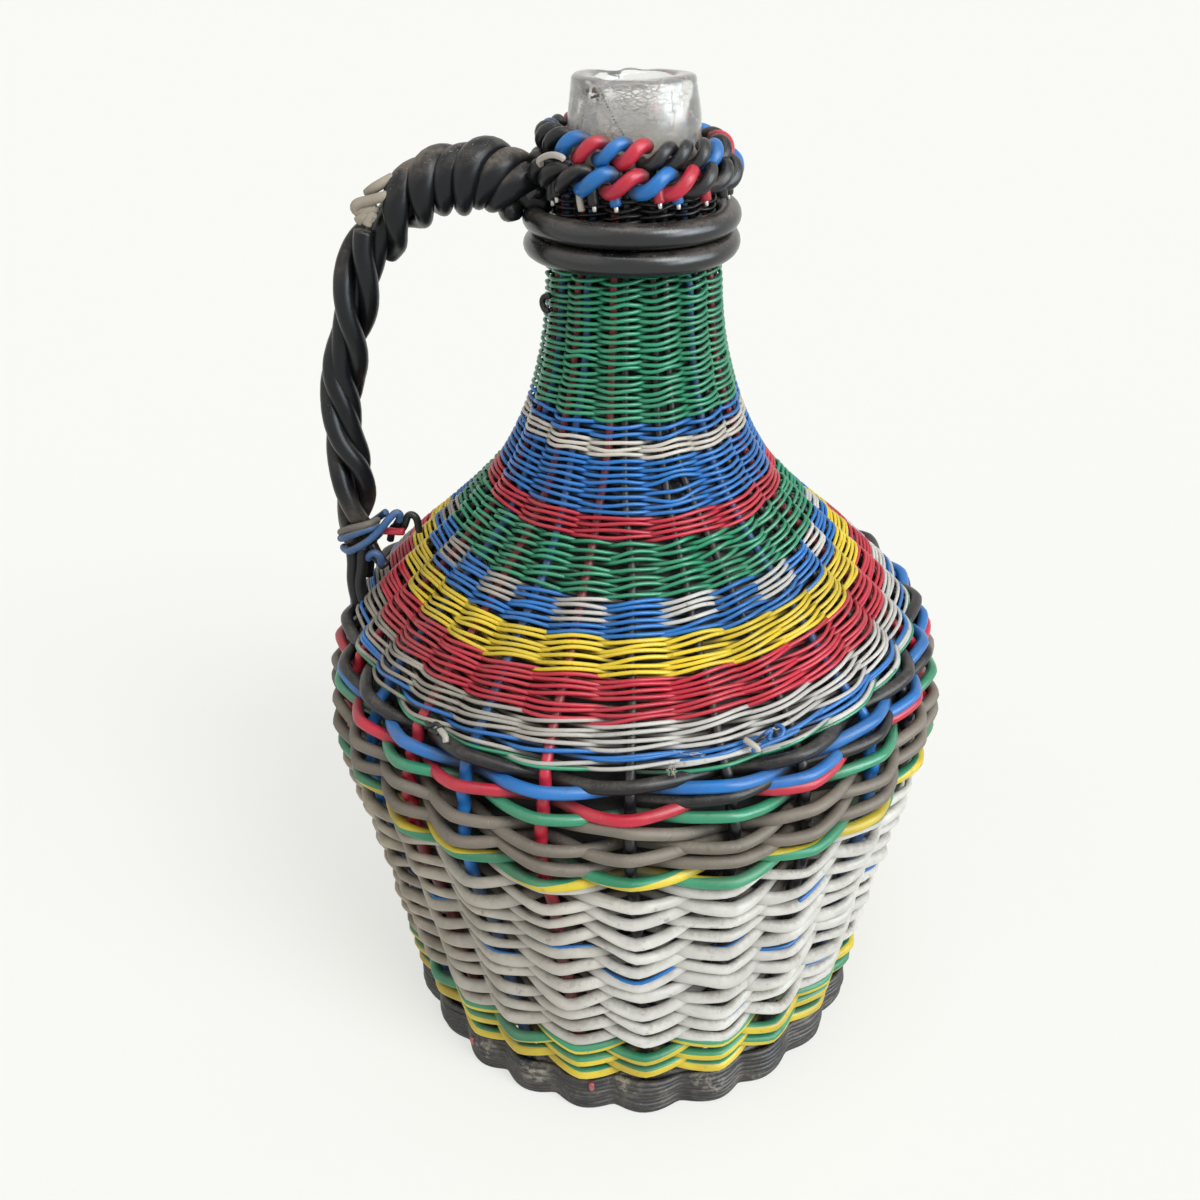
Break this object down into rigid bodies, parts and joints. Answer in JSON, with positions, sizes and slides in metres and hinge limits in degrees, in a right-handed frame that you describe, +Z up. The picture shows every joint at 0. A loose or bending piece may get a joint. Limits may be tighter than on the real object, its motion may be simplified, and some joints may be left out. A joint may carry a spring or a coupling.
{
  "type": "demijohn",
  "caption": "Glass demijohn in a basket woven from coloured insulated wire, with a plaited collar, a neck coil of cable and a fixed handle of twisted black cable.",
  "frame": {"origin": "on the bottle's axis, on the flat face that the foot stands on", "axes": "+Z up along the bottle's axis, -X towards the handle, -Y towards the front"},
  "size_m": [0.22, 0.2213, 0.34],
  "materials": {
    "bottle_glass": "clear, slightly grey, worn and dusty",
    "black_cable": "satin cable sheath with dust",
    "black_wire": "satin insulated wire",
    "blue_wire": "satin insulated wire",
    "red_wire": "satin insulated wire",
    "green_wire": "satin insulated wire",
    "yellow_wire": "satin insulated wire",
    "cream_wire": "dirty white insulated wire",
    "grey_white_wire": "greyed white insulated wire",
    "grey_wire": "grey-brown insulated wire",
    "earth_wire": "green and yellow earth wire"
  },
  "bodies": {
    "root": {"glass_bottle": "bottle_glass", "stake_01": "black_wire", "stake_02": "black_wire", "stake_03": "black_wire", "stake_04": "blue_wire", "stake_05": "black_wire", "stake_06": "red_wire", "stake_07": "black_wire", "stake_08": "blue_wire", "stake_09": "black_wire", "stake_10": "red_wire", "stake_11": "black_wire", "stake_12": "blue_wire", "stake_13": "black_wire", "stake_14": "black_wire", "stake_15": "red_wire", "stake_16": "blue_wire", "stake_17": "black_wire", "stake_18": "black_wire", "stake_19": "blue_wire", "stake_20": "black_wire", "stake_21": "black_wire", "stake_22": "red_wire", "stake_23": "blue_wire", "stake_24": "red_wire", "stake_25": "blue_wire", "stake_26": "red_wire", "neck_rows": "black_wire", "green_neck_rows": "green_wire", "blue_rows": "blue_wire", "cream_rows": "cream_wire", "lower_blue_rows": "blue_wire", "red_rows": "red_wire", "lower_green_rows": "green_wire", "check_rows": "blue_wire", "yellow_rows": "yellow_wire", "lower_red_rows": "red_wire", "pale_rows": "grey_white_wire", "black_wale": "black_wire", "blue_wale": "blue_wire", "lower_black_wale": "black_wire", "red_wale": "red_wire", "green_wale": "green_wire", "grey_wale": "grey_wire", "lower_grey_wale": "grey_wire", "earth_wale": "earth_wire", "white_rows": "cream_wire", "earth_rows": "earth_wire", "foot_border": "black_cable", "base_disc": "grey_wire", "collar_lower_row": "blue_wire", "collar_upper_row": "red_wire", "neck_coil": "black_cable", "handle_cable_1": "black_cable", "handle_cable_2": "black_cable", "handle_cable_3": "black_cable", "handle_wrap_1": "black_cable", "handle_wrap_2": "black_cable", "handle_tie": "blue_wire", "handle_cream_wire": "cream_wire"}
  },
  "joints": []
}
